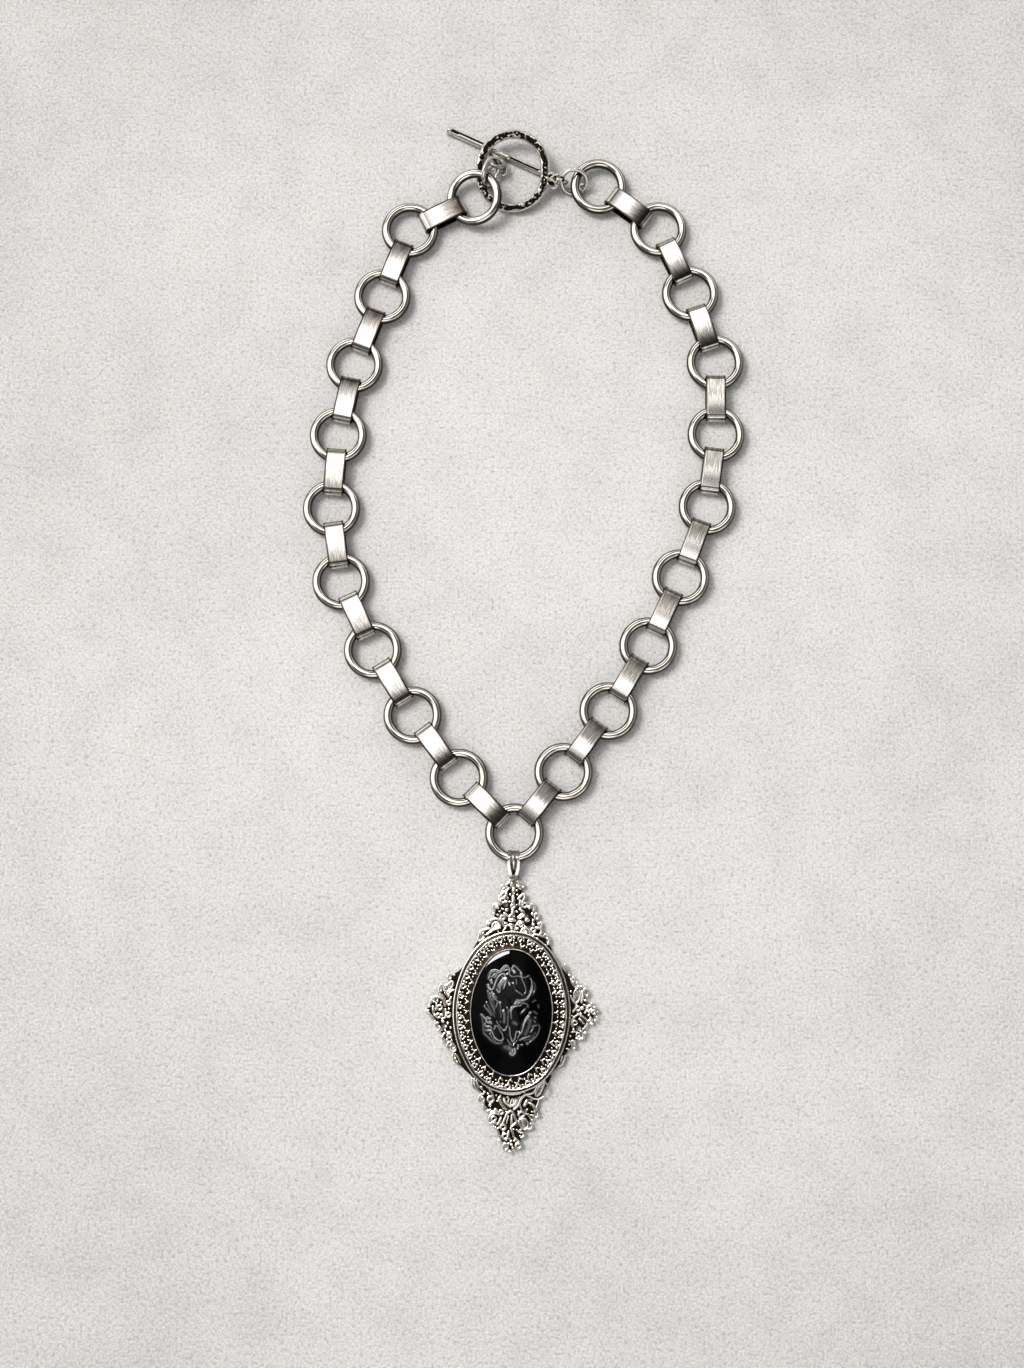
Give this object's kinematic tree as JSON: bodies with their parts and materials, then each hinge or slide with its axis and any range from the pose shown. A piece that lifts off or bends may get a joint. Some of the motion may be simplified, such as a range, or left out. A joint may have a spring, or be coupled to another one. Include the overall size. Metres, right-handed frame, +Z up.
{
  "type": "cameo_pendant_necklace",
  "caption": "Cameo pendant necklace of antiqued silver-toned metal: round rings joined by folded strips, ring and bar clasp, and a black oval cameo with a carved flower on an openwork plate.",
  "frame": {"origin": "on the surface the necklace lies on, under the middle of its whole outline", "axes": "X runs across the loop, to the wearer's left when worn; Y runs from the pendant's tip to the clasp; Z is up from the surface"},
  "size_m": [0.1076, 0.2514, 0.0083],
  "materials": {
    "ring_metal": "polished antiqued nickel-silver plate, warm grey with dark edges",
    "strip_metal": "satin plate brushed along each strip",
    "clasp_metal": "cast and oxidised plate with rubbed bright edges",
    "setting_metal": "oxidised silver plate, dark in the recesses and bright on the raised work",
    "cameo_glass": "opaque black pressed glass, alpha 1, glossy ground with a grey frosted carving"
  },
  "bodies": {
    "root": {"ring_centre": "ring_metal", "ring_left_1": "ring_metal", "ring_left_2": "ring_metal", "ring_left_3": "ring_metal", "ring_left_4": "ring_metal", "ring_left_5": "ring_metal", "ring_left_6": "ring_metal", "ring_left_7": "ring_metal", "ring_left_8": "ring_metal", "ring_left_9": "ring_metal", "ring_left_10": "ring_metal", "ring_right_1": "ring_metal", "ring_right_2": "ring_metal", "ring_right_3": "ring_metal", "ring_right_4": "ring_metal", "ring_right_5": "ring_metal", "ring_right_6": "ring_metal", "ring_right_7": "ring_metal", "ring_right_8": "ring_metal", "ring_right_9": "ring_metal", "ring_right_10": "ring_metal", "connector_left_1": "strip_metal", "connector_left_2": "strip_metal", "connector_left_3": "strip_metal", "connector_left_4": "strip_metal", "connector_left_5": "strip_metal", "connector_left_6": "strip_metal", "connector_left_7": "strip_metal", "connector_left_8": "strip_metal", "connector_left_9": "strip_metal", "connector_left_10": "strip_metal", "connector_right_1": "strip_metal", "connector_right_2": "strip_metal", "connector_right_3": "strip_metal", "connector_right_4": "strip_metal", "connector_right_5": "strip_metal", "connector_right_6": "strip_metal", "connector_right_7": "strip_metal", "connector_right_8": "strip_metal", "connector_right_9": "strip_metal", "connector_right_10": "strip_metal", "toggle_ring": "clasp_metal", "toggle_bar": "clasp_metal", "jump_ring_left": "clasp_metal", "jump_ring_right": "clasp_metal", "bail": "setting_metal", "filigree_plate": "setting_metal", "bezel_setting": "setting_metal", "cameo_stone": "cameo_glass"}
  },
  "joints": []
}
